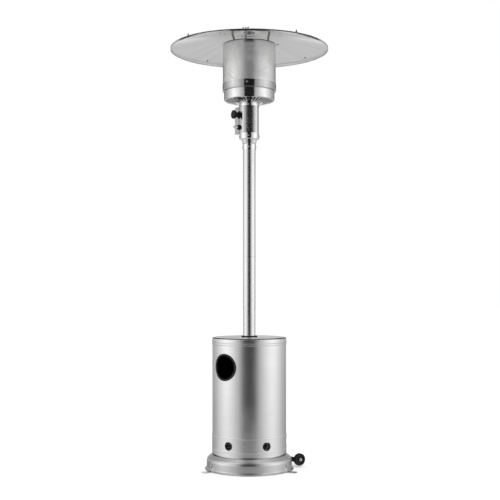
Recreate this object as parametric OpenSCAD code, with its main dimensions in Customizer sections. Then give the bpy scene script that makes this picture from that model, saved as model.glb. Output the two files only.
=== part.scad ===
// Gas patio heater: a burner and reflector on a post, above a base that holds the gas cylinder.
// Millimetres, +Z up. The origin is on the floor, on the post's axis. The front faces -Y.
// Azimuths are counted from the front, positive towards +X.

/* [Base] */
// Height of the seat that the cylinder housing rests on
seat_z = 84; // [72:1:110]
// How far the base stands out past the cylinder housing
base_flare = 37; // [32:1:60]
// Thickness of the base sheet
base_t = 1.5; // [1:0.1:2.5]
// How far each anchor foot stands out of the base
foot_len = 42.5; // [36:1:80]
// Width of each anchor foot
foot_w = 40; // [28:1:60]
// Diameter of the bolt hole in each anchor foot
foot_hole_d = 9; // [6:0.5:12]

/* [Wheels] */
// Diameter of a wheel
wheel_d = 64; // [50:1:76]
// Width of a wheel's tread
wheel_w = 20; // [14:1:30]
// Diameter of the wheel axle
axle_d = 8; // [6:0.5:10]
// Height of the axle above the floor
axle_z = 36.5; // [32:0.5:42]
// Distance between the middles of the two wheels
wheel_track = 190; // [150:1:220]

/* [Cylinder housing] */
// Diameter of the cylinder housing
housing_d = 385; // [360:1:470]
// Height of the cylinder housing
housing_h = 593; // [520:1:720]
// Thickness of the housing sheet
housing_t = 1.2; // [0.8:0.1:2]
// Height of the pierced ring at the foot of the housing
ring_h = 96; // [80:1:120]
// Diameter of each air hole in the pierced ring
air_hole_d = 45; // [30:1:56]
// Diameter of the hand hole, over its trim
hand_hole_d = 137; // [110:1:160]
// Height of the hand hole's middle above the housing's foot
hand_hole_h = 447.5; // [360:1:470]
// Height of the housing's top cap
cap_h = 37; // [30:1:48]

/* [Post] */
// Outer diameter of the post
post_d = 65; // [54:1:78]
// Wall of the post
post_t = 1.5; // [1:0.1:2.5]
// Length of post that shows between the housing and the burner head
post_show = 968; // [800:1:1170]
// Height of the joint between the two halves of the post, above the housing
post_joint_h = 413; // [340:1:500]

/* [Burner head] */
// Diameter of the head's cup and neck
head_d = 102; // [96:1:124]
// Height of the valve cover
cover_h = 138.4; // [116:0.2:166]
// How far the valve cover's flat sides run past the post's axis
cover_reach = 65; // [58:1:80]
// Width of the burner bowl
bowl_d = 260; // [216:1:312]
// Height of the burner bowl's wall
bowl_h = 46; // [38:1:56]
// Height of the polished band over the bowl
band_h = 39; // [32:1:48]
// Height of the emitter above its band
emitter_h = 202; // [168:1:243]

/* [Reflector] */
// Diameter of the reflector
reflector_d = 813; // [678:1:975]
// Slope of the reflector's skirt in degrees
reflector_slope = 13.2; // [10:0.1:16]
// Gap between the emitter's top and the reflector
reflector_gap = 50.5; // [42:0.5:61]
// Thickness of the reflector sheet
reflector_t = 1; // [0.7:0.1:1.5]

/* [Hidden] */
$fn = 72;

// Gaps
rest_gap = 0.3;     // between the housing and the seat that it rests on
slide_gap = 0.5;    // round what the housing slides along
run_gap = 0.05;     // round a turning shaft, on the radius
fit_gap = 0.2;      // between sheets that slip over each other
hole_gap = 0.25;    // round a screw's shank, on the radius

// Colours
steel = "silver";
bright = "gainsboro";
dark = "dimgray";
black = "#1c1c1e";
brass = "#b59a4c";
copper = "#b87333";

// ---------------------------------------------------------------- shared shapes

function unit(v) = v / norm(v);
function left_of(a, b) = let (d = unit(b - a)) [-d.y, d.x];
function miter(p, i) =
    let (a = i > 0 ? left_of(p[i - 1], p[i]) : left_of(p[0], p[1]),
         b = i < len(p) - 1 ? left_of(p[i], p[i + 1]) : a,
         m = a + b)
    m * 2 / (m * m);

// Closed outline of a sheet of thickness t on the left of path p, or on its right where t is negative
function sheet(p, t) = concat(p, [for (i = [len(p) - 1 : -1 : 0]) p[i] + t * miter(p, i)]);
function arc(c, r, a0, a1, n) = [for (i = [0 : n]) let (a = a0 + (a1 - a0) * i / n) c + r * [cos(a), sin(a)]];

module spun(p, t) rotate_extrude() polygon(sheet(p, t));
module azimuth(a) rotate([0, 0, a]) children();
module around(n, first = 0) for (i = [0 : n - 1]) azimuth(first + i * 360 / n) children();

// Puts something that points up at height z so that it points out through the wall at radius r
module outward(r, z) translate([0, -r, z]) rotate([90, 0, 0]) children();

module tube(r_out, r_in, z0, z1) {
    rotate_extrude() translate([r_in, z0]) square([r_out - r_in, z1 - z0]);
}

// Pipe that rises at radius r0, turns outwards at height z1 and rises again at radius r1
module stepped_pipe(d, r0, z0, z1, r1, z2) {
    translate([0, -r0, z0]) cylinder(d = d, h = z1 - z0);
    translate([0, -r0 + 0.3 * d, z1]) rotate([90, 0, 0]) cylinder(d = d, h = r1 - r0 + 0.6 * d);
    translate([0, -r1, z1]) cylinder(d = d, h = z2 - z1);
}

// Round-headed screw with its head on z = 0
module screw(head_d, head_h, shank_d, shank_l) {
    edge = 0.3 * head_h;
    rotate_extrude() polygon(concat(
        [[0, -shank_l], [shank_d / 2, -shank_l], [shank_d / 2, 0], [head_d / 2, 0]],
        [for (a = [0 : 15 : 90]) [head_d / 2 * cos(a), edge + (head_h - edge) * sin(a)]]));
}

// Hexagonal nut across flats w, with its hole
module hex_nut(w, h, hole_d) {
    difference() {
        cylinder(d = w / cos(30), h = h, $fn = 6);
        translate([0, 0, -1]) cylinder(d = hole_d, h = h + 2);
    }
}

// ---------------------------------------------------------------- base

housing_r = housing_d / 2;
base_r = housing_r + base_flare;
wall_r = base_r - 10;            // upright part of the base's wall
hem_h = 13;                      // height of the flared hem
shoulder_r = 24;                 // rounding between shoulder and wall
shoulder_z = 46;
deck_z = seat_z + 6;             // deck that the gas cylinder stands on
deck_r = housing_r - 18;
groove = 6.5;                    // shadow groove outside the seat

base_path = concat(
    [[0, deck_z - 3], [112, deck_z - 3], [116, deck_z], [deck_r, deck_z], [deck_r + 1.6, seat_z],
     [housing_r - 12, seat_z], [housing_r - 11.4, seat_z - groove], [housing_r + 3, seat_z - groove]],
    arc([wall_r - shoulder_r, shoulder_z], shoulder_r, 45, 0, 4),
    [[wall_r, hem_h], [wall_r + 2.5, hem_h - 5.5], [base_r - 0.8, 2.4], [base_r, 0.9], [base_r, 0]]);

foot_azimuths = [-60, 60, 180];
foot_t = 3;
window_h = 34;
window_w = foot_w + 6;
foot_bolt_r = base_r + 0.5 * foot_len;
flange_r = sqrt(pow(wall_r - base_t, 2) - pow(foot_w / 2, 2)) - foot_t - 0.15;   // inner face of a foot's flange
rivet_z = 41;
rivet_d = 5;
rivet_grip = wall_r - flange_r + 0.1;

leg_azimuths = [37, 157, 277];
leg_w = 30;
leg_t = 4;
leg_r = deck_r - 7.5;            // outer face of a leg
leg_bolt_r = leg_r - 18;
leg_bolt_d = 6;

wheel_azimuth = 120;
bracket_t = 3;
bracket_bolt_x = 22;
bracket_bolt_d = 6;
bracket_z0 = 24;
bracket_z1 = 49;
ear_x = wheel_track / 2 - wheel_w / 2 - 6;   // outer face of an ear
axle_r = wall_r + 27;                        // axle line, from the post's axis

module foot_axes() for (a = foot_azimuths) azimuth(a) children();
module leg_axes() for (a = leg_azimuths) azimuth(a) children();
module bracket_bolt_axes() {
    azimuth(wheel_azimuth) for (s = [-1, 1]) translate([s * bracket_bolt_x, 0, 0])
        outward(wall_r, 0.5 * (bracket_z0 + bracket_z1)) children();
}

module foot_window() {
    corner = 8;
    translate([0, -wall_r + 25, 0]) rotate([90, 0, 0]) linear_extrude(60) {
        translate([-window_w / 2, -1]) square([window_w, window_h - corner + 1]);
        translate([-window_w / 2 + corner, 0]) square([window_w - 2 * corner, window_h]);
        for (s = [-1, 1]) translate([s * (window_w / 2 - corner), window_h - corner]) circle(corner);
    }
}

module base_shell() color(steel) difference() {
    spun(base_path, -base_t);
    foot_axes() {
        foot_window();
        outward(wall_r - 10, rivet_z) cylinder(d = rivet_d + 2 * hole_gap, h = 20);
    }
    leg_axes() translate([0, -leg_bolt_r, deck_z - 10]) cylinder(d = leg_bolt_d + 2 * hole_gap, h = 20);
    bracket_bolt_axes() translate([0, 0, -12]) cylinder(d = bracket_bolt_d + 2 * hole_gap, h = 24);
}

module anchor_feet() color(steel) foot_axes() {
    reach = base_r + foot_len;
    outline = sheet([[reach, 0], [wall_r - 4, 0], [flange_r - 9, 30], [flange_r, window_h + 1], [flange_r, shoulder_z]],
                    -foot_t);
    difference() {
        intersection() {
            rotate([90, 0, -90]) translate([0, 0, -foot_w / 2]) linear_extrude(foot_w) polygon(outline);
            translate([0, -reach + 40, -1]) linear_extrude(80) {
                translate([-foot_w / 2, -34]) square([foot_w, 200]);
                for (s = [-1, 1]) translate([s * (foot_w / 2 - 6), -34]) circle(6);
                translate([-foot_w / 2 + 6, -40]) square([foot_w - 12, 20]);
            }
        }
        translate([0, -foot_bolt_r, -1]) cylinder(d = foot_hole_d, h = foot_t + 2);
        outward(wall_r - 20, rivet_z) cylinder(d = rivet_d + 2 * hole_gap, h = 20);
    }
}

module foot_rivets() color(bright) foot_axes() outward(wall_r, rivet_z) {
    screw(9, 2, rivet_d, rivet_grip + 1);
    translate([0, 0, -rivet_grip - 2]) cylinder(d = 8, h = 2);
}

module wheel_bracket() color(black) azimuth(wheel_azimuth) {
    plate_y = wall_r + 0.2;
    ear_y = axle_r + 11;
    difference() {
        union() {
            translate([-ear_x, -plate_y - bracket_t, bracket_z0])
                cube([2 * ear_x, bracket_t, bracket_z1 - bracket_z0]);
            for (s = [0, 1]) mirror([s, 0, 0]) translate([ear_x, 0, 0]) rotate([90, 0, -90]) linear_extrude(bracket_t) {
                translate([plate_y, bracket_z0]) square([ear_y - plate_y - 11, bracket_z1 - bracket_z0]);
                translate([axle_r, axle_z]) circle(12);
            }
        }
        translate([-ear_x - 1, -axle_r, axle_z]) rotate([0, 90, 0])
            cylinder(d = axle_d + 0.1, h = 2 * ear_x + 2);
        for (s = [-1, 1]) translate([s * bracket_bolt_x, 0, 0])
            outward(wall_r - 1, 0.5 * (bracket_z0 + bracket_z1)) cylinder(d = bracket_bolt_d + 2 * hole_gap, h = 12);
    }
}

module bracket_bolts() color(dark) bracket_bolt_axes() {
    translate([0, 0, 0.3 + bracket_t]) screw(12, 4, bracket_bolt_d, 14);
    translate([0, 0, -11]) hex_nut(10, 5, bracket_bolt_d + 0.02);
}

module wheel_axle() color(bright) azimuth(wheel_azimuth) translate([0, -axle_r, axle_z]) rotate([0, 90, 0])
    translate([0, 0, -wheel_track / 2 - wheel_w / 2 - 6]) cylinder(d = axle_d, h = wheel_track + wheel_w + 12);

module axle_nuts() color(bright) azimuth(wheel_azimuth) for (s = [0, 1]) mirror([s, 0, 0])
    translate([wheel_track / 2 + wheel_w / 2 + 0.5, -axle_r, axle_z]) rotate([0, 90, 0]) rotate_extrude() polygon([
        [axle_d / 2 + 0.01, 0], [8, 0], [8, 1.6], [6.4, 2.2], [6.4, 6], [4.6, 8.4], [0, 8.9], [0, 5.6],
        [axle_d / 2 + 0.01, 5.6]]);

// Wheel on its own axis, with a rounded tread, a sunk web on both sides and a long hub
module wheel_shape() {
    r = wheel_d / 2;
    h = wheel_w / 2;
    bore = axle_d / 2 + run_gap;
    round_r = 5;
    half = concat(
        [[bore, 0], [bore, h], [9.5, h], [10, h - 0.5], [10.5, h - 5.5], [r - 9, h - 5.5], [r - 8.2, h - 0.6],
         [r - 7.6, h]],
        arc([r - round_r, h - round_r], round_r, 90, 0, 6));
    rotate_extrude() polygon(concat(half, [for (i = [len(half) - 1 : -1 : 1]) [half[i].x, -half[i].y]]));
}

module wheel_at(side) color(black) azimuth(wheel_azimuth)
    translate([side * wheel_track / 2, -axle_r, axle_z]) rotate([0, 90, 0]) wheel_shape();

module wheel_near() wheel_at(-1);
module wheel_far() wheel_at(1);

// ---------------------------------------------------------------- post and its supports

housing_z = seat_z + rest_gap;
housing_top = housing_z + housing_h;
collar_z = housing_top + post_show;
joint_z = housing_top + post_joint_h;
post_r = post_d / 2;
socket_flange_z = housing_top - 46;
leg_bend_z = socket_flange_z - 42;
socket_flange_r = post_r + 46;
leg_tab_r = post_r + 14;
socket_bolt_r = post_r + 26;
socket_depth = 30;               // post inside the socket, below its flange
socket_cross_d = 6;
socket_cross_z = socket_flange_z + 16;
joint_gap = 0.6;

module support_leg(i) color(dark) azimuth(leg_azimuths[i]) difference() {
    path = [[leg_bolt_r - 14, deck_z + leg_t], [leg_r - leg_t, deck_z + leg_t], [leg_r - leg_t, leg_bend_z],
            [socket_bolt_r + 18, socket_flange_z - leg_t], [leg_tab_r, socket_flange_z - leg_t]];
    rotate([90, 0, -90]) translate([0, 0, -leg_w / 2]) linear_extrude(leg_w) polygon(sheet(path, -leg_t));
    translate([0, -leg_bolt_r, deck_z - 1]) cylinder(d = leg_bolt_d + 2 * hole_gap, h = leg_t + 2);
    translate([0, -socket_bolt_r, socket_flange_z - leg_t - 1]) cylinder(d = leg_bolt_d + 2 * hole_gap, h = leg_t + 2);
}

module support_leg_1() support_leg(0);
module support_leg_2() support_leg(1);
module support_leg_3() support_leg(2);

// Bolt pointing up at z with a nut under a stack of sheets that is grip thick
module bolt_and_nut(z, grip) translate([0, 0, z]) {
    screw(12, 4, leg_bolt_d, grip + 7);
    translate([0, 0, -grip - 5.2]) hex_nut(10, 5, leg_bolt_d + 0.02);
}

module leg_bolts() color(bright) leg_axes() translate([0, -leg_bolt_r, 0])
    bolt_and_nut(deck_z + leg_t + 0.05, leg_t + base_t);

module post_socket() color(dark) {
    r_in = post_r + fit_gap / 2;
    difference() {
        union() {
            tube(r_in + 2.5, r_in, socket_flange_z - socket_depth, socket_flange_z + 30);
            tube(socket_flange_r, r_in + 1, socket_flange_z + 0.1, socket_flange_z + 3.1);
            tube(r_in + 1, post_r - post_t, socket_flange_z - socket_depth - 2, socket_flange_z - socket_depth);
        }
        leg_axes() translate([0, -socket_bolt_r, socket_flange_z - 1])
            cylinder(d = leg_bolt_d + 2 * hole_gap, h = 6);
        leg_axes() outward(post_r - 6, socket_cross_z) cylinder(d = socket_cross_d + 2 * hole_gap, h = 14);
    }
}

module socket_bolts() color(bright) leg_axes() {
    translate([0, -socket_bolt_r, 0]) bolt_and_nut(socket_flange_z + 3.2, 3 + leg_t + 0.2);
    outward(post_r + fit_gap / 2 + 2.6, socket_cross_z) screw(11, 3.5, socket_cross_d, post_t + 2.5 + 1.5);
}

module lower_post() color(steel) difference() {
    tube(post_r, post_r - post_t, socket_flange_z - socket_depth + 0.1, joint_z - joint_gap / 2);
    leg_axes() outward(post_r - 6, socket_cross_z) cylinder(d = socket_cross_d + 2 * hole_gap, h = 14);
}

module post_coupler() color(dark) {
    r = post_r - post_t - 0.1;
    tube(r, r - 1.5, joint_z - 55, joint_z + 55);
}

// ---------------------------------------------------------------- burner head: heights and radii

collar_h = 26;
cone_z = collar_z + collar_h;
cup_z = cone_z + 27;             // ledge where the cup starts
cup_top = cup_z + 29;
cover_z = cup_top + 0.3;
neck_z = cover_z + cover_h + 0.3;
bowl_z = neck_z + 19;            // underside of the bowl
head_r = head_d / 2;
head_t = 1.6;
frame_r = head_r - head_t - 2;   // outside of the inner frame
frame_t = 1.2;
cover_t = 1.1;
cover_r = frame_r + fit_gap + cover_t;
screw_azimuth = -5;
collar_screw_z = collar_z + 12;
cup_screw_z = cup_z + 15;
neck_screw_z = neck_z + 6;
head_screw_d = 4;

module upper_post() color(steel) difference() {
    tube(post_r, post_r - post_t, joint_z + joint_gap / 2, cone_z - 2);
    around(4, screw_azimuth) outward(post_r - 8, collar_screw_z) cylinder(d = head_screw_d + 2 * hole_gap, h = 16);
}

// ---------------------------------------------------------------- cylinder housing

ring_top = housing_z + ring_h;
shell_r = housing_r - housing_t - 0.1;        // outside of the shell, inside the ring and the cap
bead = 0.9;
cap_z = housing_top - cap_h;
cap_round = 10;
hand_hole_azimuth = -41;
hand_hole_z = housing_z + hand_hole_h;
hand_hole_r = hand_hole_d / 2 - 5;            // hole in the shell
air_hole_azimuth = -33;
air_hole_z = housing_z + 54;

// Half-round bead on an upright wall of radius r, its middle at z
function bead_at(r, z) = [[r, z - 3], [r + 0.7 * bead, z - 1.4], [r + bead, z], [r + 0.7 * bead, z + 1.4], [r, z + 3]];

module housing_ring() color(steel) difference() {
    spun(concat([[deck_r + 3.2, housing_z], [housing_r, housing_z]],
                bead_at(housing_r, housing_z + 24.5), bead_at(housing_r, ring_top - 3.1), [[housing_r, ring_top]]),
         housing_t);
    around(6, air_hole_azimuth) outward(housing_r - 30, air_hole_z) cylinder(d = air_hole_d, h = 60);
}

module housing_shell() color(steel) difference() {
    tube(shell_r, shell_r - housing_t, ring_top - 22, cap_z + 25);
    azimuth(hand_hole_azimuth) outward(housing_r - 40, hand_hole_z) cylinder(r = hand_hole_r, h = 80);
}

module housing_cap() color(steel) {
    corner = arc([housing_r - cap_round, housing_top - cap_round], cap_round, 90, 0, 6);
    spun(concat([[post_r + 5.5, housing_top]], corner,
                [for (p = [4 : -1 : 0]) bead_at(housing_r, cap_z + 13.4)[p]],
                [for (p = [4 : -1 : 0]) bead_at(housing_r, cap_z + 3.1)[p]], [[housing_r, cap_z]]),
         -housing_t);
}

// Edge trim that clips over the rim of the hand hole
module hand_hole_trim() color(black) azimuth(hand_hole_azimuth) difference() {
    intersection() {
        outward(housing_r - 40, hand_hole_z) cylinder(d = hand_hole_d, h = 80);
        tube(shell_r + 3, shell_r - housing_t - 3, hand_hole_z - 90, hand_hole_z + 90);
    }
    outward(housing_r - 50, hand_hole_z) cylinder(r = hand_hole_r - 4, h = 100);
    difference() {
        tube(shell_r + 0.1, shell_r - housing_t - 0.1, hand_hole_z - 95, hand_hole_z + 95);
        outward(housing_r - 50, hand_hole_z) cylinder(r = hand_hole_r - 0.2, h = 100);
    }
}

module post_grommet() color(black) {
    r = post_r + slide_gap;
    z = housing_top;
    hole = post_r + 5.5;
    rotate_extrude() polygon([[r, z - 6], [hole + 3, z - 6], [hole + 3, z - housing_t - 0.1], [hole - 0.1, z - housing_t - 0.1],
                              [hole - 0.1, z + 0.1], [hole + 3.5, z + 0.1], [hole + 3.5, z + 4], [hole + 2.2, z + 6.2],
                              [r + 1.2, z + 7.2], [r, z + 6]]);
}

// ---------------------------------------------------------------- gas line

line_d = 10;
valve_z = cover_z + 73;          // bottom of the gas valve
inlet_z = socket_flange_z - socket_depth - 6;

module gas_line() color(brass) translate([0, 0, inlet_z + 12])
    cylinder(d = line_d, h = valve_z - 18 - inlet_z - 12);

module gas_line_bushings() color(black) for (z = [housing_top + 40, joint_z - 70, collar_z - 30])
    tube(post_r - post_t - 0.1, line_d / 2 + 0.05, z, z + 8);

module gas_inlet() color(brass) translate([0, 0, inlet_z]) {
    difference() {
        cylinder(d = 19 / cos(30), h = 12, $fn = 6);
        translate([0, 0, -1]) cylinder(d = line_d - 4, h = 20);
    }
    difference() {
        translate([0, 0, -14]) cylinder(d = 16, h = 14.5);
        translate([0, 0, -15]) cylinder(d = line_d - 4, h = 17);
    }
}

// ---------------------------------------------------------------- burner head

// The controls sit on the flat side of the valve cover
control_azimuth = -60;
control_x = -20;                 // knob and button line, along the flat side
knob_z = cover_z + 96;
button_z = cover_z + 32;
knob_push = 3.5;
button_push = 6;

module control_frame() rotate([0, 0, control_azimuth]) children();
module control_axis(z) translate([control_x, -cover_r, z]) rotate([90, 0, 0]) children();
module head_screw_holes(z) around(4, screw_azimuth) outward(post_r - 8, z)
    cylinder(d = head_screw_d + 2 * hole_gap, h = 40);

module head_cup() color(bright) difference() {
    r = post_r + fit_gap / 2 + head_t;
    spun([[r, collar_z], [r, cone_z], [r + 1.5, cone_z + 5], [head_r - 11.5, cup_z - 3], [head_r - 10, cup_z - 0.6],
          [head_r - 1.5, cup_z - 0.6], [head_r, cup_z + 0.9], [head_r, cup_top]], head_t);
    head_screw_holes(collar_screw_z);
    head_screw_holes(cup_screw_z);
}

module head_frame() color(dark) control_frame() difference() {
    tube(frame_r, frame_r - frame_t, cup_z + 2, bowl_z - 1);
    translate([-100, -60, cover_z + 3]) cube([98, 120, cover_h - 6]);
    rotate([0, 0, -control_azimuth]) {
        head_screw_holes(cup_screw_z);
        head_screw_holes(neck_screw_z);
    }
}

module head_neck() color(bright) difference() {
    union() {
        tube(head_r, head_r - head_t, neck_z, bowl_z - 0.1);
        tube(head_r + 5, head_r - head_t, bowl_z - 1.7, bowl_z - 0.1);
    }
    head_screw_holes(neck_screw_z);
}

module head_screws() color(bright) around(4, screw_azimuth) {
    outward(post_r + fit_gap / 2 + head_t + 0.05, collar_screw_z) screw(8, 3, head_screw_d, head_t + post_t + 2);
    outward(head_r + 0.05, cup_screw_z) screw(8, 2.6, head_screw_d, 6.4);
    outward(head_r + 0.05, neck_screw_z) screw(8, 2.6, head_screw_d, 6.4);
}

// Plan of the valve cover: half round at the back of the frame, flat sides towards the back plate
module cover_plan(r, reach) {
    circle(r);
    translate([-reach, -r]) square([reach, 2 * r]);
}

cover_screw_x = -46;
cover_screw_zs = [cover_z + 6.5, cover_z + cover_h - 6.5];

module valve_cover() color(steel) control_frame() difference() {
    union() {
        translate([0, 0, cover_z]) linear_extrude(cover_h) difference() {
            cover_plan(cover_r, cover_reach);
            cover_plan(cover_r - cover_t, cover_reach + 1);
        }
        for (z = [cover_z, cover_z + cover_h - cover_t]) translate([0, 0, z]) linear_extrude(cover_t) difference() {
            cover_plan(cover_r - cover_t / 2, cover_reach);
            circle(frame_r + fit_gap);
        }
    }
    control_axis(knob_z) translate([0, 0, -5]) cylinder(d = 11, h = 10);
    control_axis(button_z) translate([0, 0, -5]) cylinder(d = 19.5, h = 10);
    for (z = cover_screw_zs, s = [-1, 1]) translate([cover_screw_x, 0, z]) rotate([90, 0, 0])
        translate([0, 0, s * cover_r - 6]) cylinder(d = 4.4, h = 12);
}

module valve_back() color(steel) control_frame() difference() {
    half = cover_r - cover_t - fit_gap;
    lip = 32;
    z0 = cover_z + cover_t + fit_gap;
    h = cover_h - 2 * cover_t - 2 * fit_gap;
    union() {
        translate([-cover_reach - 1.2, -cover_r, cover_z]) cube([1.1, 2 * cover_r, cover_h]);
        for (s = [-1, 1]) translate([-cover_reach - 0.2, s > 0 ? half - 1 : -half, z0]) cube([lip, 1, h]);
    }
    for (i = [0 : 6]) translate([-cover_reach - 3, -25, cover_z + 38 + 10 * i]) cube([5, 50, 4]);
    for (z = cover_screw_zs, s = [-1, 1]) translate([cover_screw_x, 0, z]) rotate([90, 0, 0])
        translate([0, 0, s * cover_r - 8]) cylinder(d = 4.4, h = 16);
}

module cover_screws() color(bright) control_frame() for (z = cover_screw_zs, s = [0, 1]) mirror([0, s, 0])
    translate([cover_screw_x, -cover_r - 0.05, z]) rotate([90, 0, 0]) screw(9, 2.8, 4, 6);

module gas_valve() color(brass) control_frame() difference() {
    union() {
        translate([control_x - 14, -36, valve_z]) cube([44, 46, 46]);
        translate([0, 0, valve_z - 18]) cylinder(d = 19 / cos(30), h = 18.5, $fn = 6);
        translate([0, 0, valve_z + 45]) cylinder(d = 16, h = 10);
    }
    control_axis(knob_z) translate([0, 0, -30]) cylinder(d = 8 + 2 * run_gap, h = 25);
    translate([0, 0, valve_z + 40]) cylinder(d = 2, h = 20);
}

// Stem that moves in when the knob is pushed
module valve_stem() color(bright) control_frame() control_axis(knob_z)
    translate([0, 0, -30 + knob_push + 1]) cylinder(d = 8, h = 30 - knob_push - 1 + 30);

// Heights along the knob's axis, from the cover's flat side
bezel_h = 3;
knob_base = bezel_h + knob_push + 0.4;

module knob_bezel() color(black) control_frame() control_axis(knob_z) rotate_extrude()
    polygon([[5, 0.1], [20, 0.1], [20, 1.8], [18.8, bezel_h], [5, bezel_h]]);

module control_knob() color(black) control_frame() control_axis(knob_z) difference() {
    rotate_extrude() polygon(concat(
        [[0, knob_base], [12.5, knob_base], [13, knob_base + 0.5], [13.5, 22], [16, 25], [21, 26.5]],
        arc([20, 28.5], 2, -60, 0, 2), arc([19, 35], 3, 0, 90, 4), [[13, 38], [12, 37], [0, 37]]));
    translate([0, 0, knob_base - 1]) cylinder(d = 8 + 2 * run_gap, h = 31 - knob_base + 1);
    for (a = [0 : 30 : 330]) rotate([0, 0, a + 15]) translate([24.2, 0, 27]) cylinder(r = 3.4, h = 14);
}

module igniter_body() color(black) control_frame() control_axis(button_z) {
    difference() {
        translate([0, 0, -34]) cylinder(d = 19, h = 44);
        translate([0, 0, -8]) cylinder(d = 15 + 0.6, h = 30);
    }
}

module igniter_nut() color(black) control_frame() control_axis(button_z) difference() {
    union() {
        translate([0, 0, 0.1]) cylinder(d = 26, h = 4.9);
        rotate_extrude() polygon([[9, 4], [12.2, 5], [11, 12], [9.8, 13], [9, 13]]);
    }
    translate([0, 0, -1]) cylinder(d = 19.1, h = 30);
}

module igniter_button() color("lightgray") control_frame() control_axis(button_z)
    rotate_extrude() polygon([[0, -1], [7.5, -1], [7.5, 14], [6.8, 30], [5.6, 32.6], [3.4, 33.6], [0, 34]]);

module tilt_switch() color(dark) control_frame() {
    translate([22, 16, cover_z + 22]) cylinder(d = 18, h = 26);
    translate([22, 16, cover_z + 48]) cylinder(d = 7, h = 8);
    translate([12, 24.6, cover_z + 30]) cube([20, 2, 10]);
    translate([22, 24, cover_z + 35]) rotate([-90, 0, 0]) cylinder(d = 5, h = 12.5);
}

// ---------------------------------------------------------------- burner, bowl and emitter

bowl_r = bowl_d / 2;
bowl_t = 1;
bowl_hole_r = frame_r - frame_t - 0.5;
ring_z = bowl_z + 14;            // foot of the bowl's wall
band_z = ring_z + bowl_h;
band_top = band_z + band_h;
band_r = bowl_r + 7.5;
emitter_top_z = band_top + emitter_h;
screen_r = band_r - 1.2;
band_screw_z = band_z + 25;
slots = 40;

// Ring of slots from radius r0 to r1, w0 wide at the inner end and w1 at the outer end
module bowl_slots(r0, r1, w0, w1) translate([0, 0, bowl_z - 5]) around(slots, 4.5) linear_extrude(30) {
    polygon([[-w0 / 2, -r0 - w0 / 2], [w0 / 2, -r0 - w0 / 2], [w1 / 2, -r1 + w1 / 2], [-w1 / 2, -r1 + w1 / 2]]);
    translate([0, -r0 - w0 / 2]) circle(d = w0);
    translate([0, -r1 + w1 / 2]) circle(d = w1);
}

module burner_bowl() color(bright) difference() {
    spun([[bowl_hole_r, bowl_z], [0.48 * bowl_r, bowl_z], [0.72 * bowl_r, bowl_z + 3], [0.88 * bowl_r, bowl_z + 7],
          [bowl_r - 4, bowl_z + 10.5], [bowl_r - 0.8, bowl_z + 12], [bowl_r, ring_z], [bowl_r, band_z + 1.3],
          [band_r - 3, band_z + 1.3]], bowl_t);
    bowl_slots(head_r + 19, bowl_r - 5, 5.5, 10);
}

module emitter_band() color(bright) difference() {
    spun([[bowl_r + 0.2, band_z], [band_r + 0.5, band_z], [band_r + 1.1, band_z + 0.6], [band_r + 1.1, band_z + 2.2],
          [band_r, band_z + 3.4], [band_r, band_top]], 1);
    around(4, screw_azimuth) outward(screen_r - 10, band_screw_z) cylinder(d = 4 + 2 * hole_gap, h = 20);
}

module band_screws() color(steel) around(4, screw_azimuth) outward(band_r + 0.05, band_screw_z) screw(9, 2.6, 4, 6);

module emitter_screen() color("darkgray") difference() {
    tube(screen_r, screen_r - 0.8, band_z + 2.6, emitter_top_z - 8);
    around(4, screw_azimuth) outward(screen_r - 10, band_screw_z) cylinder(d = 4 + 2 * hole_gap, h = 20);
}

module stud_axes() for (a = [-10, -130, 110]) azimuth(a) translate([0, -stud_r, 0]) children();

stud_r = band_r - 32.5;
stud_d = 6;

module emitter_top() color(dark) difference() {
    spun([[0, emitter_top_z - 6], [band_r - 5, emitter_top_z - 6], [band_r - 3, emitter_top_z],
          [band_r - 0.6, emitter_top_z], [band_r, emitter_top_z - 0.8], [band_r, emitter_top_z - 14]], -1);
    stud_axes() translate([0, 0, emitter_top_z - 20]) cylinder(d = stud_d + 2 * hole_gap, h = 30);
}

mixer_top = ring_z + 26;

module mixer_tube() color(steel) difference() {
    rotate_extrude() polygon([[9, valve_z + 50], [12, valve_z + 50], [10.5, valve_z + 66], [10.5, mixer_top],
                              [9.3, mixer_top], [9.3, valve_z + 64], [9, valve_z + 60]]);
    for (a = [0, 90]) rotate([0, 0, a]) translate([-20, 0, valve_z + 61]) rotate([0, 90, 0]) cylinder(d = 6, h = 40);
}

module burner_head() color(dark) difference() {
    union() {
        difference() {
            rotate_extrude() polygon([[0, mixer_top - 6], [40, mixer_top - 6], [62, mixer_top + 4], [62, mixer_top + 16],
                                      [59, mixer_top + 19], [0, mixer_top + 19]]);
            rotate_extrude() polygon([[0, mixer_top - 4.5], [39.6, mixer_top - 4.5], [60.5, mixer_top + 5],
                                      [60.5, mixer_top + 15.4], [58.4, mixer_top + 17.5], [0, mixer_top + 17.5]]);
        }
        around(3, 10) {
            translate([-8, -56, bowl_z + bowl_t + 0.2]) cube([16, 2, mixer_top + 2.5 - bowl_z - bowl_t - 0.2]);
            translate([-8, -60, bowl_z + bowl_t + 0.2]) cube([16, 6, 2]);
        }
    }
    translate([0, 0, mixer_top - 10]) cylinder(r = 10.6, h = 8);
    for (ring = [[20, 12], [35, 20], [50, 28]]) around(ring[1]) translate([0, -ring[0], mixer_top + 10])
        cylinder(d = 3.2, h = 14);
}

pilot_azimuth = -75;
pilot_r = 76;

module pilot_burner() color(copper) azimuth(pilot_azimuth) {
    stepped_pipe(4, 28, valve_z + 46.1, ring_z + 10, pilot_r, ring_z + 38);
    translate([0, -pilot_r, ring_z + 36]) cylinder(d = 9, h = 16);
}

module thermocouple() color(copper) azimuth(pilot_azimuth - 14) {
    stepped_pipe(3, 36, valve_z + 46.1, ring_z + 12, pilot_r, ring_z + 40);
    translate([0, -pilot_r, ring_z + 38]) cylinder(d = 6, h = 22);
}

// ---------------------------------------------------------------- reflector

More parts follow.
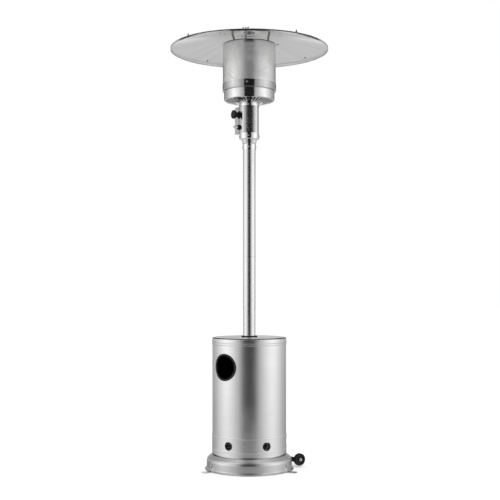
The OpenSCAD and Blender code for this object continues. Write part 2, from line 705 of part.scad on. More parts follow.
reflector_r = reflector_d / 2;
panel_t = reflector_t / cos(reflector_slope);         // measured upright
crown_r = 58;
crown_z = emitter_top_z + reflector_gap + panel_t + (stud_r - crown_r) * tan(reflector_slope);
rim_round = 7;
rim_lip = 6;
lap_gap = 0.15;
lap_w = 16;
seam_azimuth = -54;
seam_inset = lap_w / 2;
seam_radii = [191, reflector_r - 28.5];
seam_bolt_d = 5;

// Height of the reflector's upper face at radius r
function dome(r) = crown_z - max(0, r - crown_r) * tan(reflector_slope);

function panel_path(lift) =
    let (bend_r = reflector_r - rim_round + rim_round * sin(reflector_slope),
         z = dome(bend_r) - rim_round * cos(reflector_slope))
    concat([[18, crown_z + lift], [crown_r, crown_z + lift]],
           [for (p = arc([reflector_r - rim_round, z], rim_round, 90 - reflector_slope, 0, 5)) p + [0, lift]],
           [[reflector_r, z - rim_lip + lift]]);

// One quarter of the dome. Its far edge carries a strip that laps over the next quarter.
module reflector_panel(i) color(bright) azimuth(seam_azimuth + 90 + 90 * i) difference() {
    lap = panel_t + lap_gap;
    union() {
        rotate([0, 0, -90]) rotate_extrude(angle = -89.95) polygon(sheet(panel_path(0), -reflector_t));
        intersection() {
            spun(panel_path(lap), -reflector_t);
            translate([-seam_inset / 2, -reflector_r + 12, crown_z - 200]) cube([lap_w + seam_inset / 2, reflector_r - 12 - 62, 400]);
        }
        intersection() {
            spun(panel_path(lap - 0.4), -reflector_t);
            translate([-seam_inset / 2, -reflector_r + 12, crown_z - 200]) cube([seam_inset / 2 - 0.4, reflector_r - 12 - 62, 400]);
        }
    }
    for (r = seam_radii) {
        translate([seam_inset, -r, crown_z - 200]) cylinder(d = seam_bolt_d + 2 * hole_gap, h = 400);
        azimuth(-90) translate([seam_inset, -r, crown_z - 200]) cylinder(d = seam_bolt_d + 2 * hole_gap, h = 400);
    }
    azimuth(-seam_azimuth - 90 - 90 * i) stud_axes() translate([0, 0, crown_z - 100])
        cylinder(d = stud_d + 2 * hole_gap, h = 200);
}

module reflector_panel_1() reflector_panel(0);
module reflector_panel_2() reflector_panel(1);
module reflector_panel_3() reflector_panel(2);
module reflector_panel_4() reflector_panel(3);

module seam_axes(r) around(4, seam_azimuth) translate([seam_inset, -r, 0]) children();

module seam_bolts() color(steel) for (r = seam_radii) seam_axes(r) {
    translate([0, 0, dome(r + 5) - panel_t - 0.1]) rotate([180, 0, 0]) screw(10, 3, seam_bolt_d, 15);
    translate([0, 0, dome(r - 5) + panel_t + lap_gap + 0.1]) hex_nut(8, 4, seam_bolt_d + 0.02);
}

module reflector_crown() color(bright) difference() {
    spun([[0, crown_z + 3.1], [30, crown_z + 3.1], [34, crown_z + 0.1], [50, crown_z + 0.1]], 1);
    translate([0, 0, crown_z - 1]) cylinder(d = 6.5, h = 10);
}

// Bolt that clamps the crown plate and the four panels onto a washer below them
module crown_bolt() color(steel) {
    translate([0, 0, crown_z + 4.2]) screw(13, 4.5, 6, 14);
    tube(30, 3.05, crown_z - reflector_t - 2.2, crown_z - reflector_t - 0.2);
    translate([0, 0, crown_z - reflector_t - 7.4]) hex_nut(10, 5, 6.02);
}

spacer_top = dome(stud_r + 6) - panel_t - 0.15;
wing_z = dome(stud_r - 7) + 0.15;

module reflector_studs() color(steel) stud_axes() {
    translate([0, 0, emitter_top_z - 17]) cylinder(d = stud_d, h = wing_z + 12 - emitter_top_z + 17);
    translate([0, 0, emitter_top_z - 12.2]) hex_nut(10, 5, stud_d - 0.4);
}

module stud_spacers() color(bright) stud_axes() tube(6, stud_d / 2 + 0.2, emitter_top_z - 5.9, spacer_top);

module wing_nuts() color(bright) stud_axes() translate([0, 0, wing_z]) difference() {
    union() {
        rotate_extrude() polygon([[stud_d / 2 + 0.01, 0], [7, 0], [5.6, 7], [stud_d / 2 + 0.01, 7]]);
        for (s = [0, 1]) mirror([s, 0, 0]) rotate([90, 0, 0]) translate([0, 0, -1.2]) linear_extrude(2.4)
            polygon([[4, 0.6], [7, 0.4], [13, 4], [16.5, 9.5], [16, 12.6], [13.5, 13], [10.5, 10.5], [4.6, 6.4]]);
    }
    translate([0, 0, -1]) cylinder(d = stud_d + 0.02, h = 20);
}

// ---------------------------------------------------------------- the nodes

base_shell();
anchor_feet();
foot_rivets();
wheel_bracket();
bracket_bolts();
wheel_axle();
axle_nuts();
wheel_near();
wheel_far();
support_leg_1();
support_leg_2();
support_leg_3();
leg_bolts();
post_socket();
socket_bolts();
lower_post();
post_coupler();
upper_post();
housing_ring();
housing_shell();
housing_cap();
hand_hole_trim();
post_grommet();
gas_line();
gas_line_bushings();
gas_inlet();
head_cup();
head_frame();
head_neck();
head_screws();
valve_cover();
valve_back();
cover_screws();
gas_valve();
valve_stem();
control_knob();
knob_bezel();
igniter_body();
igniter_nut();
igniter_button();
tilt_switch();
mixer_tube();
burner_head();
pilot_burner();
thermocouple();
burner_bowl();
emitter_band();
band_screws();
emitter_screen();
emitter_top();
reflector_studs();
stud_spacers();
wing_nuts();
reflector_panel_1();
reflector_panel_2();
reflector_panel_3();
reflector_panel_4();
reflector_crown();
crown_bolt();
seam_bolts();
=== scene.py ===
"""Looks of a gas patio heater: brushed and polished stainless steel, a bright domed reflector,
a perforated emitter, black mouldings and plated fixings. Metres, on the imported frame."""

import math

import bpy
import numpy as np
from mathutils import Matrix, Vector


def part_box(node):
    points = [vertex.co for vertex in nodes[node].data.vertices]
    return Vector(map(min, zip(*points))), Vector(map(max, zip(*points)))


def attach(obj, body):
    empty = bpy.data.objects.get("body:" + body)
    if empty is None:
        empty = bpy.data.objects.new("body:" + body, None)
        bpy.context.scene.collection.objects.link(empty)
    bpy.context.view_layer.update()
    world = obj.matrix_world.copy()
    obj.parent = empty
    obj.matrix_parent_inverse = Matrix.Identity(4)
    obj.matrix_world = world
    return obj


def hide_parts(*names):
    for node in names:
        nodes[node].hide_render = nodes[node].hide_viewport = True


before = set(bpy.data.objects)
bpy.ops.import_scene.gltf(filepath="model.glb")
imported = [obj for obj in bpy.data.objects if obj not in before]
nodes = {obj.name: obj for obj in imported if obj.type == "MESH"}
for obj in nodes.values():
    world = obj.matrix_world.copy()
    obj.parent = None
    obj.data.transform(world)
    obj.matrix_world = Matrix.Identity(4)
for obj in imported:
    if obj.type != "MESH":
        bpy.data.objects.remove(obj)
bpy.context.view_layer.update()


# ------------------------------------------------------------------ shader expressions

class Wire:
    """A value in a material's node tree. Arithmetic on it adds Math nodes."""

    def __init__(self, finish, socket):
        self.finish, self.socket = finish, socket

    def maths(self, operation, *others, clamp=False):
        values = dict(enumerate((self, *others)))
        return self.finish.node("Math", {"operation": operation, "use_clamp": clamp}, values)[0]

    def __add__(self, other):
        return self.maths("ADD", other)

    def __sub__(self, other):
        return self.maths("SUBTRACT", other)

    def __mul__(self, other):
        return self.maths("MULTIPLY", other)

    def __truediv__(self, other):
        return self.maths("DIVIDE", other)

    def __pow__(self, other):
        return self.maths("POWER", other)

    def __rsub__(self, other):
        return self.finish.node("Math", {"operation": "SUBTRACT"}, {0: other, 1: self})[0]

    __radd__, __rmul__ = __add__, __mul__


class Finish:
    """A material made of one Principled shader and the nodes that vary it."""

    def __init__(self, name, **constants):
        self.material = bpy.data.materials.new(name)
        self.material.use_nodes = True
        self.tree = self.material.node_tree
        self.tree.nodes.clear()
        self.shader = self.tree.nodes.new("ShaderNodeBsdfPrincipled")
        out = self.tree.nodes.new("ShaderNodeOutputMaterial")
        self.tree.links.new(self.shader.outputs[0], out.inputs[0])
        self.feed(self.shader, {k.replace("_", " "): v for k, v in constants.items()})
        self.place = self.node("TexCoord")["Object"]

    def feed(self, node, values):
        for key, value in values.items():
            if isinstance(value, Wire):
                self.tree.links.new(value.socket, node.inputs[key])
            else:
                node.inputs[key].default_value = value

    def node(self, kind, settings=(), values=()):
        """Adds a node, then its settings, its ramp's stops and its sockets. Returns its outputs as wires."""
        made = self.tree.nodes.new("ShaderNode" + kind)
        settings, values = dict(settings), dict(values)
        stops = settings.pop("stops", None)
        for key, value in settings.items():
            setattr(made, key, value)
        if stops:
            ramp = made.color_ramp.elements
            while len(ramp) < len(stops):
                ramp.new(1.0)
            for element, (at, grey) in zip(ramp, stops):
                element.position, element.color = at, (*([grey] * 3), 1)
        self.feed(made, values)
        named = {s.name: Wire(self, s) for s in made.outputs}
        named.update({i: Wire(self, s) for i, s in enumerate(made.outputs)})
        return named

    def axes(self):
        split = self.node("SeparateXYZ", (), {0: self.place})
        return split["X"], split["Y"], split["Z"]

    def radius(self):
        x, y, _ = self.axes()
        return (x * x + y * y) ** 0.5

    def vector(self, x, y, z):
        return self.node("CombineXYZ", (), {0: x, 1: y, 2: z})[0]

    def stretched(self, along, centre=(0, 0, 0)):
        """The place, with each axis multiplied, so that noise on it is drawn out along the smallest."""
        moved = self.node("VectorMath", {"operation": "SUBTRACT"}, {0: self.place, 1: centre})[0]
        return self.node("VectorMath", {"operation": "MULTIPLY"}, {0: moved, 1: along})[0]

    def noise(self, vector, scale=1.0, detail=3.0, rough=0.5):
        return self.node("TexNoise", {"noise_dimensions": "3D"},
                         {"Vector": vector, "Scale": scale, "Detail": detail, "Roughness": rough})["Fac"]

    def step(self, value, low, high, bottom=0.0, top=1.0):
        """Goes smoothly from bottom to top as value goes from low to high."""
        return self.node("MapRange", {"interpolation_type": "SMOOTHSTEP"},
                         {"Value": value, "From Min": low, "From Max": high,
                          "To Min": bottom, "To Max": top})[0]

    def tint(self, share, dark, light):
        """A colour that goes from dark to light as share goes from 0 to 1."""
        mixed = self.node("Mix", {"data_type": "RGBA"}, {0: share, 6: (*dark, 1), 7: (*light, 1)})
        return mixed[2]

    def blend(self, share, first, second):
        return self.node("Mix", {"data_type": "RGBA"}, {0: share, 6: first, 7: second})[2]

    def bump(self, height, distance, strength=1.0, after=None):
        values = {"Height": height, "Distance": distance, "Strength": strength}
        if after:
            values["Normal"] = after
        return self.node("Bump", (), values)[0]

    def set(self, **values):
        self.feed(self.shader, {k.replace("_", " "): v for k, v in values.items()})
        return self.material


# ------------------------------------------------------------------ finishes

def grain(f, coarse, fine, lean=0.31):
    """Streaks that run round the axis: noise drawn out round it, quick along height and a share of radius."""
    x, y, z = f.axes()
    across = z + f.radius() * lean
    broad = f.noise(f.vector(x * 5.0, y * 5.0, across * coarse), detail=4.0, rough=0.6)
    thin = f.noise(f.vector(x * 14.0, y * 14.0, across * fine), detail=3.0, rough=0.65)
    return broad, thin


def handling(f, size=7.0):
    """Faint smears where hands and weather have touched: two sizes of noise, one lifting the other."""
    large = f.noise(f.place, scale=size, detail=4.0, rough=0.55)
    small = f.noise(f.place, scale=size * 6.0, detail=5.0, rough=0.6)
    return f.step(large * 0.7 + small * 0.3, 0.42, 0.68)


def brushed_stainless(name, dark, light, rough, spread=0.04, foot=None, painted_dark_inside=None):
    """Stainless sheet brushed round its axis, with smears, fine scratches and, given a height, a dusty foot.
    Given a (radius, height) pair, inside that radius and below that height the sheet is painted near-black and
    duller, as painted shade for its unlit inside."""
    f = Finish(name, Metallic=1.0)
    broad, thin = grain(f, 300.0, 1700.0)
    smear = handling(f)
    streak = broad * 0.55 + thin * 0.45
    colour = f.tint(f.step(streak, 0.28, 0.72), dark, light)
    roughness = f.step(thin, 0.25, 0.75, rough - spread, rough + spread) + smear * 0.05
    scratch = f.step(f.noise(f.stretched((30.0, 30.0, 1900.0)), detail=2.0), 0.69, 0.76)
    colour = f.blend(scratch * 0.25, colour, (*light, 1))
    if foot:
        low = 1 - f.step(f.axes()[2], foot * 0.15, foot)
        dust = low * f.step(f.noise(f.place, scale=46.0, detail=5.0), 0.40, 0.66)
        colour = f.blend(dust * 0.35, colour, (0.33, 0.32, 0.30, 1))
        roughness = roughness + dust * 0.18
    # painted shade: inside the radius and below the height the sheet is painted near-black (0.05) and made
    # rougher
    if painted_dark_inside:
        radius, height = painted_dark_inside
        inwards = 1 - f.step(f.radius(), radius - 0.0002, radius + 0.0002)
        below = 1 - f.step(f.axes()[2], height - 0.0001, height + 0.0001)
        painted_shade = inwards * below
        colour = f.blend(painted_shade, colour, (0.05, 0.05, 0.05, 1))
        roughness = roughness + painted_shade * 0.25
    height = streak * 0.8 + scratch * 0.2
    return f.set(Base_Color=colour, Roughness=roughness, Normal=f.bump(height, 0.00004, 0.2))


def polished_stainless(name, dark, light, rough, waviness=0.0, painted_dark_inside=None):
    """Mirror-polished sheet: almost smooth, with wiping marks, a little haze and the sheet's slow waves.
    Given a (radius, height) pair, inside that radius and above that height it is painted near-black and
    rougher: sooting from the burner, and painted shade for the dim inside."""
    f = Finish(name, Metallic=1.0)
    broad, thin = grain(f, 150.0, 900.0)
    smear = handling(f, 16.0)
    haze = f.step(f.noise(f.place, scale=120.0, detail=4.0), 0.45, 0.75)
    colour = f.tint(f.step(broad * 0.5 + smear * 0.5, 0.2, 0.8), dark, light)
    roughness = f.step(thin, 0.2, 0.8, rough * 0.7, rough * 1.25) + smear * 0.035 + haze * 0.015
    slow = f.noise(f.stretched((26.0, 26.0, 30.0)), detail=1.5)
    rolled = f.bump(slow, 0.004 * waviness, 0.5)
    # sooting and painted shade: the inside faces above the height are painted near-black and rougher
    if painted_dark_inside:
        radius, height = painted_dark_inside
        inwards = 1 - f.step(f.radius(), radius - 0.0002, radius + 0.0002)
        soot_and_painted_shade = inwards * f.step(f.axes()[2], height, height + 0.0004)
        colour = f.blend(soot_and_painted_shade, colour, (0.03, 0.028, 0.026, 1))
        roughness = roughness + soot_and_painted_shade * 0.4
    return f.set(Base_Color=colour, Roughness=roughness, Normal=f.bump(thin, 0.00002, 0.25, rolled))


def satin_tube(name, dark, light, rough, ripple, flatter=0.0):
    """Satin tube: a fine lengthwise and crosswise grain over a lightly rippled sheet. With flatter, its front
    was pressed a little flatter than round, so the shading turns more slowly across it."""
    f = Finish(name, Metallic=1.0)
    broad, thin = grain(f, 420.0, 2200.0, 0.0)
    lengthwise = f.noise(f.stretched((900.0, 900.0, 12.0)), detail=3.0)
    smear = handling(f, 20.0)
    mottle = f.noise(f.stretched((95.0, 95.0, 130.0)), detail=3.5, rough=0.6)
    colour = f.tint(f.step(broad * 0.4 + lengthwise * 0.2 + mottle * 0.4, 0.3, 0.7), dark, light)
    roughness = f.step(mottle, 0.3, 0.7, rough - 0.05, rough + 0.05) + smear * 0.04
    rolled = f.bump(mottle, 0.0009 * ripple, 0.6)
    if flatter:
        x, y, _ = f.axes()
        aside = (x + 0.002).maths("MAXIMUM", -0.033).maths("MINIMUM", 0.040)
        rolled = f.bump(aside * aside * flatter * (1 - f.step(y, -0.012, 0.0)), 1.0, 1.0, rolled)
    return f.set(Base_Color=colour, Roughness=roughness,
                 Normal=f.bump(thin * 0.6 + lengthwise * 0.4, 0.00003, 0.3, rolled))


def reflector_sheet(name):
    """Bright spun sheet: spinning rings, faint rays to the rim, rain spots, and heat haze by the burner."""
    f = Finish(name, Metallic=1.0)
    x, y, z = f.axes()
    r = f.radius()
    rings = f.noise(f.vector(x * 3.0, y * 3.0, r * 700.0), detail=4.0, rough=0.6)
    rays = f.noise(f.vector(x / (r + 0.02) * 9.0, y / (r + 0.02) * 9.0, r * 2.0), detail=3.0)
    drops = f.node("TexVoronoi", {"feature": "F1"}, {"Vector": f.place, "Scale": 55.0})
    spots = f.step(drops["Distance"], 0.10, 0.16)
    weathered = f.step(f.noise(f.place, scale=5.0, detail=4.0), 0.45, 0.7)
    colour = f.tint(f.step(rings * 0.45 + rays * 0.55, 0.25, 0.75), (0.78, 0.78, 0.78), (0.86, 0.86, 0.86))
    colour = f.blend((1 - spots) * weathered * 0.12, colour, (0.66, 0.65, 0.63, 1))
    heat = (1 - f.step(r, 0.08, 0.22)) * f.step(rays, 0.2, 0.8, 0.5, 1.0)
    colour = f.blend(heat * 0.4, colour, (0.38, 0.35, 0.32, 1))
    roughness = f.step(rings, 0.2, 0.8, 0.13, 0.18) + weathered * 0.04 + (1 - spots) * weathered * 0.05
    slow = f.noise(f.place, scale=4.5, detail=1.0)
    pressed = f.bump(slow, 0.003, 0.4)
    return f.set(Base_Color=colour, Roughness=roughness, Normal=f.bump(rings, 0.00004, 0.3, pressed))


def heat_tinted(name, dark, light, rough, soot_and_shade_above=None, tinge=0.35):
    """Steel that has been hot: straw and blue patches over a dull oxide, and, above a given height, a
    near-black colour that is both sooting from the flame and painted shade for the dim inside.
    """
    f = Finish(name, Metallic=0.95)
    patch = f.noise(f.place, scale=24.0, detail=4.0, rough=0.6)
    fine = f.noise(f.place, scale=420.0, detail=3.0)
    colour = f.tint(f.step(patch, 0.3, 0.7), dark, light)
    colour = f.blend(f.step(patch, 0.56, 0.72) * tinge, colour, (0.17, 0.15, 0.19, 1))
    # sooting and painted shade: above the height the steel is painted near-black
    if soot_and_shade_above:
        colour = f.blend(f.step(f.axes()[2], soot_and_shade_above - 0.0004, soot_and_shade_above + 0.0004), colour, (0.02, 0.02, 0.02, 1))
    return f.set(Base_Color=colour, Roughness=f.step(fine, 0.2, 0.8, rough - 0.07, rough + 0.08),
                 Normal=f.bump(fine, 0.00008, 0.4))


def plated(name, dark, light, rough, thread=0.0, cone_painted_dark_above=None):
    """Zinc plate: pale crystals, a turned grain, and, given a pitch, the thread of a stud. Given the height
    that the cone of a dome would have on its axis, and its fall, what is below the cone takes a plain bright
    plate and what is above it keeps the colours given, which for the bolts and wing nuts are near-black as a
    painted dark reflection."""
    f = Finish(name, Metallic=1.0)
    crystals = f.node("TexVoronoi", {"feature": "F1"}, {"Vector": f.place, "Scale": 380.0})["Color"]
    bright = f.node("SeparateColor", (), {0: crystals})[0]
    fine = f.noise(f.place, scale=1500.0, detail=3.0)
    grime = f.step(f.noise(f.place, scale=90.0, detail=4.0), 0.5, 0.75)
    colour = f.blend(grime * 0.35, f.tint(bright * 0.5 + fine * 0.5, dark, light), (0.22, 0.21, 0.20, 1))
    # painted dark reflection: above the cone the fixings keep the near-black colours given, below it a plain
    # bright plate
    if cone_painted_dark_above:
        apex, fall = cone_painted_dark_above
        below = 1 - f.step(f.axes()[2] + f.radius() * fall, apex - 0.0012, apex - 0.0004)
        colour = f.blend(below, colour, (0.74, 0.74, 0.75, 1))
    normal = f.bump(fine, 0.00005, 0.4)
    if thread:
        turns = f.node("TexWave", {"wave_type": "BANDS", "bands_direction": "Z", "wave_profile": "TRI"},
                       {"Vector": f.place, "Scale": 0.314 / thread})["Fac"]
        normal = f.bump(turns, 0.0004, 0.8, normal)
    return f.set(Base_Color=colour, Roughness=rough + grime * 0.12, Normal=normal)


def powder_coat(name, dark, light, rough):
    """Black powder coat with its orange-peel skin and rubbed dust."""
    f = Finish(name, Coat_Roughness=0.25, IOR=1.5, Specular_IOR_Level=0.3)
    peel = f.noise(f.place, scale=620.0, detail=2.0)
    dust = f.step(f.noise(f.place, scale=38.0, detail=5.0), 0.48, 0.74)
    colour = f.blend(dust * 0.3, f.tint(f.step(peel, 0.3, 0.7), dark, light), (0.12, 0.115, 0.11, 1))
    return f.set(Base_Color=colour, Roughness=rough + dust * 0.16, Coat_Weight=0.25 - dust * 0.15,
                 Normal=f.bump(peel, 0.00012, 0.5))


def moulded(name, dark, light, rough, grain_size=1400.0, depth=0.00008):
    """Moulded plastic or rubber: a spark-eroded grain, slight mottling and paler rubbed places."""
    f = Finish(name, IOR=1.48, Specular_IOR_Level=0.22)
    texture = f.noise(f.place, scale=grain_size, detail=2.5)
    mottle = f.noise(f.place, scale=60.0, detail=4.0)
    rubbed = f.step(mottle * 0.7 + texture * 0.3, 0.55, 0.72)
    colour = f.tint(f.step(mottle, 0.3, 0.7), dark, light)
    colour = f.blend(rubbed * 0.2, colour, tuple(min(1.0, 1.8 * c + 0.02) for c in light) + (1,))
    roughness = f.step(texture, 0.2, 0.8, rough - 0.05, rough + 0.06) + rubbed * 0.05
    return f.set(Base_Color=colour, Roughness=roughness, Normal=f.bump(texture, depth, 0.5))


def turned_brass(name, dark, light, rough):
    """Turned brass or drawn copper, dulled by handling and spotted with tarnish."""
    f = Finish(name, Metallic=1.0)
    turned = f.noise(f.stretched((40.0, 40.0, 1400.0)), detail=3.0)
    tarnish = f.step(f.noise(f.place, scale=75.0, detail=5.0), 0.46, 0.72)
    colour = f.blend(tarnish * 0.55, f.tint(turned, dark, light), (0.24, 0.13, 0.06, 1))
    return f.set(Base_Color=colour, Roughness=rough + tarnish * 0.2, Normal=f.bump(turned, 0.00005, 0.3))


def wear(finish, *names):
    """Puts a finish on each CAD node named."""
    for name in names:
        for slot in nodes[name].material_slots:
            slot.material = finish


# (radius, height) of the faces that are only seen from inside, which are painted near-black as painted shade
# (for the bowl and band also as sooting from the burner), the height above which the lid is painted near-black
# as sooting and painted shade, and the height and fall of the dome's outside, above which the bolts and wing
# nuts are painted dark as a painted dark reflection
HOUSING_INSIDE = (0.1907, 0.6767)
BOWL_INSIDE = (0.1296, 1.8985)
BAND_INSIDE = (0.1369, 1.9497)
LID_UNDERSIDE = 2.1825
DOME = (2.26245, 0.23455)

# the housing's inside faces are painted near-black as painted shade
housing_steel = brushed_stainless("housing_steel", (0.75, 0.75, 0.75), (0.81, 0.81, 0.81), 0.33,
                                  painted_dark_inside=HOUSING_INSIDE)
base_steel = brushed_stainless("base_steel", (0.60, 0.60, 0.60), (0.66, 0.66, 0.66), 0.29, foot=0.02)
mirror_steel = polished_stainless("mirror_steel", (0.76, 0.76, 0.76), (0.84, 0.84, 0.84), 0.11, waviness=0.1)
# the bowl's and band's inside faces are painted near-black: sooting, and painted shade for the dim inside seen
# through the screen
bowl_steel = polished_stainless("bowl_steel", (0.68, 0.68, 0.68), (0.76, 0.76, 0.76), 0.11, 0.1, BOWL_INSIDE)
band_steel = polished_stainless("band_steel", (0.52, 0.52, 0.52), (0.60, 0.60, 0.60), 0.12, 0.1, BAND_INSIDE)
post_steel = satin_tube("post_steel", (0.66, 0.66, 0.66), (0.76, 0.76, 0.76), 0.27, 0.10)
cover_steel = satin_tube("cover_steel", (0.60, 0.60, 0.60), (0.76, 0.76, 0.76), 0.22, 0.7, flatter=5.8)
bright_sheet = reflector_sheet("reflector_sheet")
mesh_steel = heat_tinted("mesh_steel", (0.80, 0.80, 0.80), (0.90, 0.90, 0.89), 0.16, tinge=0.08)
# the lid is painted near-black above LID_UNDERSIDE: sooting, and painted shade for the dim inside
lid_steel = heat_tinted("lid_steel", (0.60, 0.60, 0.60), (0.72, 0.72, 0.71), 0.24, soot_and_shade_above=LID_UNDERSIDE,
                        tinge=0.12)
# dark heat oxide for the screen's hole walls and inside faces, and painted shade for the dim inside of the
# tube
oxide_and_painted_shade = heat_tinted("oxide_and_painted_shade", (0.10, 0.095, 0.09), (0.19, 0.18, 0.17), 0.45)
burner_iron = heat_tinted("burner_iron", (0.05, 0.045, 0.04), (0.11, 0.10, 0.09), 0.62)
zinc = plated("zinc_plate", (0.50, 0.50, 0.51), (0.72, 0.72, 0.73), 0.28)
zinc_thread = plated("zinc_thread", (0.48, 0.48, 0.49), (0.70, 0.70, 0.71), 0.30, thread=0.001)
# bolts and wing nuts: near-black above the dome's cone as a painted dark reflection, plain bright plate under
# the dome
zinc_painted_dark_top = plated("zinc_painted_dark_top", (0.05, 0.05, 0.052), (0.12, 0.12, 0.122), 0.42, 0.0008, DOME)
dull_aluminium = plated("dull_aluminium", (0.82, 0.82, 0.83), (0.92, 0.92, 0.93), 0.55)
zinc_sheet = plated("zinc_sheet", (0.66, 0.66, 0.67), (0.84, 0.84, 0.85), 0.26)
black_coat = powder_coat("black_coat", (0.012, 0.012, 0.013), (0.022, 0.022, 0.024), 0.38)
black_plastic = moulded("black_plastic", (0.004, 0.004, 0.0045), (0.008, 0.008, 0.009), 0.42)
wheel_plastic = moulded("wheel_plastic", (0.009, 0.009, 0.010), (0.018, 0.018, 0.019), 0.46, 900.0, 0.00015)
trim_rubber = moulded("trim_rubber", (0.008, 0.008, 0.009), (0.014, 0.014, 0.015), 0.55, 1100.0)
grey_plastic = moulded("grey_plastic", (0.42, 0.42, 0.43), (0.50, 0.50, 0.51), 0.30)
switch_plastic = moulded("switch_plastic", (0.08, 0.08, 0.085), (0.12, 0.12, 0.125), 0.4)
brass = turned_brass("turned_brass", (0.52, 0.36, 0.15), (0.74, 0.55, 0.27), 0.28)
copper = turned_brass("drawn_copper", (0.55, 0.26, 0.14), (0.78, 0.42, 0.26), 0.25)

wear(housing_steel, "housing_ring", "housing_shell", "housing_cap")
wear(base_steel, "base_shell")
wear(mirror_steel, "head_cup", "head_neck")
wear(bowl_steel, "burner_bowl")
wear(band_steel, "emitter_band")
wear(post_steel, "lower_post", "upper_post")
wear(cover_steel, "valve_cover", "valve_back")
wear(bright_sheet, "reflector_panel_1", "reflector_panel_2", "reflector_panel_3", "reflector_panel_4",
     "reflector_crown")
wear(lid_steel, "emitter_top")
wear(burner_iron, "burner_head")
wear(zinc_thread, "reflector_studs")
wear(zinc_painted_dark_top, "seam_bolts", "wing_nuts")
wear(zinc, "foot_rivets", "bracket_bolts", "wheel_axle", "axle_nuts", "leg_bolts", "socket_bolts",
     "head_screws", "cover_screws", "valve_stem", "band_screws")
wear(zinc_sheet, "anchor_feet", "mixer_tube", "support_leg_1", "support_leg_2", "support_leg_3")
wear(dull_aluminium, "stud_spacers", "crown_bolt")
wear(black_coat, "wheel_bracket", "post_socket", "post_coupler", "head_frame")
wear(wheel_plastic, "wheel_near", "wheel_far")
wear(black_plastic, "control_knob", "knob_bezel", "igniter_body", "igniter_nut")
wear(trim_rubber, "hand_hole_trim", "post_grommet", "gas_line_bushings")
wear(grey_plastic, "igniter_button")
wear(switch_plastic, "tilt_switch")
wear(brass, "gas_line", "gas_inlet", "gas_valve")
wear(copper, "pilot_burner", "thermocouple")


# ------------------------------------------------------------------ perforated emitter

def mesh_piece(name, points, faces, finish):
    """A finished object at the origin from arrays of points and of faces with equal numbers of corners."""
    mesh = bpy.data.meshes.new(name)
    sides = faces.shape[1]
    mesh.vertices.add(len(points))
    mesh.vertices.foreach_set("co", np.asarray(points, dtype=np.float32).ravel())
    mesh.loops.add(faces.size)
    mesh.loops.foreach_set("vertex_index", faces.astype(np.int32).ravel())
    mesh.polygons.add(len(faces))
    mesh.polygons.foreach_set("loop_start", np.arange(0, faces.size, sides, dtype=np.int32))
    mesh.update(calc_edges=True)
    mesh.validate()
    mesh.materials.append(finish)
    piece = bpy.data.objects.new(name, mesh)
    bpy.context.collection.objects.link(piece)
    return piece


def perforated_wall(low, high, columns, sheet, open_share):
    """Perforated sheet rolled into a tube between two corners of its box.

    The sheet is a staggered grid of hexagonal cells, each with a six-sided hole of open_share times the cell's
    size. Every cell is a ring of four-sided faces outside, the same inside, and six faces through its hole.
    A flat place u along the sheet goes to the angle u / radius; the height stays. The first and last rows
    are drawn level with the box so that the wall's edges are straight. The last array is 1 on faces inside."""
    radius = (high[0] - low[0]) / 2
    pitch = 2 * math.pi * radius / columns
    rise = pitch * math.sqrt(3) / 2
    rows = int(round((high[2] - low[2]) / rise))
    rise = (high[2] - low[2]) / (rows + 1 / 3)
    col, row = np.meshgrid(np.arange(columns), np.arange(rows))
    u0 = ((col + 0.5 * (row % 2)) * pitch).ravel()
    v0 = (low[2] + rise * (row + 2 / 3)).ravel()
    turn = np.radians(90 + 60 * np.arange(6))
    reach = rise * 2 / 3
    cell_u, cell_v = pitch / math.sqrt(3) * np.cos(turn), reach * np.sin(turn)
    hole_u, hole_v = open_share * pitch / math.sqrt(3) * np.cos(turn), open_share * reach * np.sin(turn)

    def ring(du, dv, r):
        u, v = u0[:, None] + du, v0[:, None] + dv
        v = np.clip(v, low[2], high[2])
        return np.stack([r * np.sin(u / radius), -r * np.cos(u / radius), v], axis=-1)

    rings = [ring(cell_u, cell_v, radius), ring(hole_u, hole_v, radius),
             ring(hole_u, hole_v, radius - sheet), ring(cell_u, cell_v, radius - sheet)]
    points = np.stack(rings, axis=1).reshape(-1, 3)
    start = 24 * np.arange(len(u0))[:, None, None]
    k = np.arange(6)
    n = (k + 1) % 6
    bands = [np.stack([6 * b + k, 6 * b + n, 6 * b + 6 + n, 6 * b + 6 + k], axis=-1) for b in range(3)]
    faces = (start + np.concatenate(bands)[None]).reshape(-1, 4)
    inside = np.tile(np.repeat([0, 1, 1], 6), len(u0))
    return points, faces, inside


low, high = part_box("emitter_screen")
points, faces, inside = perforated_wall(low, high, 116, 0.0008, 0.33)
emitter_mesh = mesh_piece("emitter_mesh", points, faces, mesh_steel)
# the hole walls and inside faces take the dark finish: partly heat oxide, partly painted shade for the dim
# inside
emitter_mesh.data.materials.append(oxide_and_painted_shade)
emitter_mesh.data.polygons.foreach_set("material_index", inside.astype(np.int32))
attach(emitter_mesh, "stand")
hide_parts("emitter_screen")


# ------------------------------------------------------------------ studio

def plain(name, colour, glow=0.0):
    f = Finish(name, Roughness=1.0, Emission_Color=(1, 1, 1, 1), Emission_Strength=glow)
    return f.set(Base_Color=(*colour, 1))


def panel(name, corners, finish):
    made = mesh_piece(name, np.array(corners, dtype=float), np.array([[0, 1, 2, 3]]), finish)
    return made


def softbox(name, azimuth, distance, width, height, middle, power):
    """A soft rectangular lamp at an azimuth counted from the front, facing the post."""
    a = math.radians(azimuth)
    lamp = bpy.data.lights.new(name, "AREA")
    lamp.shape, lamp.size, lamp.size_y, lamp.energy = "RECTANGLE", width, height, power
    holder = bpy.data.objects.new(name, lamp)
    holder.location = (distance * math.sin(a), -distance * math.cos(a), middle)
    holder.rotation_euler = (math.radians(90), 0, a)
    holder.visible_glossy = False
    bpy.context.collection.objects.link(holder)


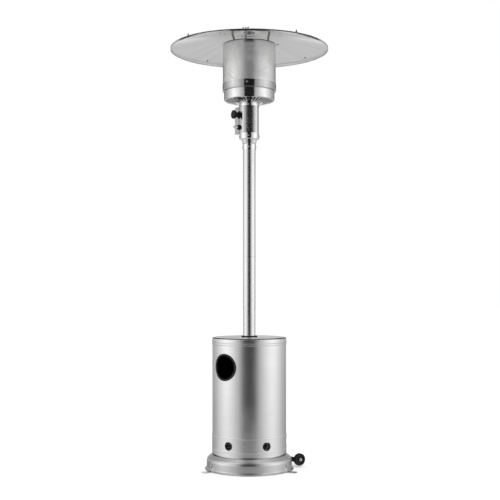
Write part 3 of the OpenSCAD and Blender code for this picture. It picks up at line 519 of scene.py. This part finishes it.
floor_paint = plain("floor_paint", (0.93, 0.93, 0.93), glow=0.22)
floor = panel("floor", [(-30, -30, 0), (30, -30, 0), (30, 30, 0), (-30, 30, 0)], floor_paint)
floor.visible_glossy = False
black_cloth = plain("black_cloth", (0.003, 0.003, 0.003))
for name, y, half, foot, top in (("front_flag", -0.9, 0.35, 0.0, 4.0), ("back_flag", 5.5, 3.0, 2.3, 5.5)):
    flag = panel(name, [(-half, y, foot), (half, y, foot), (half, y, top), (-half, y, top)], black_cloth)
    flag.visible_camera = flag.visible_diffuse = flag.visible_shadow = flag.visible_transmission = False

# a dark collar round the front of the dome, 0.55 m out, that only the polished sheet sees
turns = np.radians(np.arange(-80, 81, 5))
arc = np.stack([0.55 * np.sin(turns), -0.55 * np.cos(turns)], axis=-1)
edges = [np.column_stack([arc, np.full(len(arc), z)]) for z in (2.2, 2.9)]
first = np.arange(len(arc) - 1)
quads = np.stack([first, first + 1, first + 1 + len(arc), first + len(arc)], axis=-1)
collar = mesh_piece("top_flag", np.concatenate(edges), quads, black_cloth)
collar.visible_camera = collar.visible_diffuse = collar.visible_shadow = collar.visible_transmission = False

softbox("left_softbox", -76, 3.4, 2.2, 4.4, 1.8, 30)
softbox("right_softbox", 82, 3.6, 2.2, 4.4, 1.8, 22)

scene = bpy.context.scene
scene.view_settings.view_transform = "Standard"
world = bpy.data.worlds.new("white_room")
world.use_nodes = True


class Room(Finish):
    """The world's own node tree, so that the same methods build it."""

    def __init__(self, tree):
        self.tree = tree


room = Room(world.node_tree)
sky = room.tree.nodes["Background"]
x, y, z = (room.node("SeparateXYZ", (), {0: room.node("TexCoord")["Generated"]})[i] for i in range(3))
# how bright the room looks from the heater, by how far up (0 straight down, 0.5 level, 1 straight up)
tall = [(0.34, 0.62), (0.38, 0.58), (0.42, 0.64), (0.465, 1.05), (0.50, 1.28), (0.53, 1.22), (0.58, 1.0),
        (0.62, 0.93), (1.0, 0.88)]
rise = room.node("ValToRGB", {"stops": tall}, {"Fac": z * 0.5 + 0.5})["Color"]
# and by how far round, from the front (0) by either side to the back (1)
turn = x.maths("ABSOLUTE").maths("ARCTAN2", 0 - y) / math.pi
around = [(0.0, 0.34), (0.12, 0.40), (0.20, 0.66), (0.30, 1.10), (0.42, 1.42), (0.55, 0.98), (0.70, 0.50),
          (0.90, 0.42), (0.96, 1.0)]
sweep = room.node("ValToRGB", {"stops": around}, {"Fac": turn})["Color"]
low_down = room.step(z, -0.30, -0.20)
shaped = rise * (low_down * sweep + (1 - low_down))
mirrored = room.node("LightPath")["Is Glossy Ray"]
room.feed(sky, {"Color": (1, 1, 1, 1), "Strength": 1 - mirrored + mirrored * shaped})
scene.world = world

eye = bpy.data.cameras.new("eye")
eye.lens, eye.sensor_width = 69.9, 36.0
eye.shift_x, eye.shift_y = 0.0014, 0.0668
camera = bpy.data.objects.new("eye", eye)
camera.location = (0, -5.02, 0.954)
camera.rotation_euler = (math.radians(90), 0, 0)
bpy.context.collection.objects.link(camera)
scene.camera = camera
